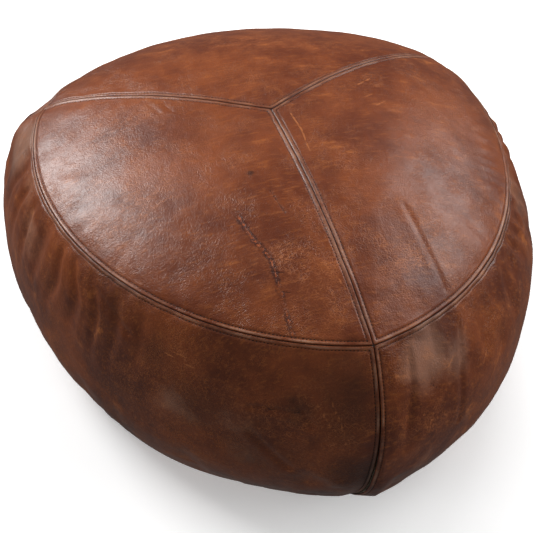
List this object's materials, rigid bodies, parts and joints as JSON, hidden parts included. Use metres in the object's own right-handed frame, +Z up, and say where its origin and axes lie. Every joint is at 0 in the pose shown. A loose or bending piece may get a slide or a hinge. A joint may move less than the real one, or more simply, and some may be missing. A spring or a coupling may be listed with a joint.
{
  "type": "leather pouf",
  "caption": "Stuffed leather floor pouf with a rounded three-cornered plan, domed sewn top, bulging side panels and a zip in its base.",
  "frame": {"origin": "on the floor under the base, straight below the point of the top where the three radial seams meet", "axes": "+Z up; the three corners of the plan are at -Y, and at 30 and 150 degrees from +X; the zip in the base runs along X"},
  "size_m": [0.6542, 0.668, 0.3226],
  "materials": {
    "top_leather": "mottled tan-brown vegetable-tanned goatskin, semi-gloss",
    "side_leather": "mottled dark brown vegetable-tanned goatskin, semi-gloss",
    "base_leather": "plain brown leather",
    "thread": "waxed dark brown thread",
    "zip_tape": "dark brown woven tape",
    "zip_brass": "brushed antique brass",
    "seam_tape": "raw cotton tape",
    "liner_cotton": "unbleached cotton",
    "filling": "packed cotton and cloth waste",
    "wadding": "soft cotton wadding"
  },
  "bodies": {
    "cover": {"base_panel_front": "base_leather", "base_panel_rear": "base_leather", "core_filling": "filling", "crown_seam_tape": "seam_tape", "crown_thread_lower": "thread", "crown_thread_upper": "thread", "liner_band": "liner_cotton", "liner_base": "liner_cotton", "liner_top": "liner_cotton", "side_panel_left": "side_leather", "side_panel_rear": "side_leather", "side_panel_right": "side_leather", "side_seam_tape_front": "seam_tape", "side_seam_tape_left": "seam_tape", "side_seam_tape_right": "seam_tape", "side_seam_thread_front": "thread", "side_seam_thread_left": "thread", "side_seam_thread_right": "thread", "top_panel_left": "top_leather", "top_panel_rear": "top_leather", "top_panel_right": "top_leather", "top_seam_tape_front": "seam_tape", "top_seam_tape_left": "seam_tape", "top_seam_tape_right": "seam_tape", "top_seam_thread_front": "thread", "top_seam_thread_left": "thread", "top_seam_thread_right": "thread", "top_wadding": "wadding", "zip_bottom_stop": "zip_brass", "zip_end_tab_left": "base_leather", "zip_end_tab_right": "base_leather", "zip_facing_front": "base_leather", "zip_facing_rear": "base_leather", "zip_tape_front": "zip_tape", "zip_tape_rear": "zip_tape", "zip_teeth_front": "zip_brass", "zip_teeth_rear": "zip_brass", "zip_top_stops": "zip_brass"},
    "zip_slider_body": {"zip_slider": "zip_brass"},
    "zip_pull_body": {"zip_pull": "zip_brass"}
  },
  "joints": [
    {"name": "zip_slide", "type": "slide", "parent": "cover", "child": "zip_slider_body", "axis": [-1, 0, 0], "range_m": [0, 0.4], "deforming": ["zip_teeth_front", "zip_teeth_rear"]},
    {"name": "pull_swing", "type": "hinge", "parent": "zip_slider_body", "child": "zip_pull_body", "pos_m": [0.212, 0.06, 0.0019], "axis": [0, -1, 0], "range_deg": [0, 170]}
  ]
}
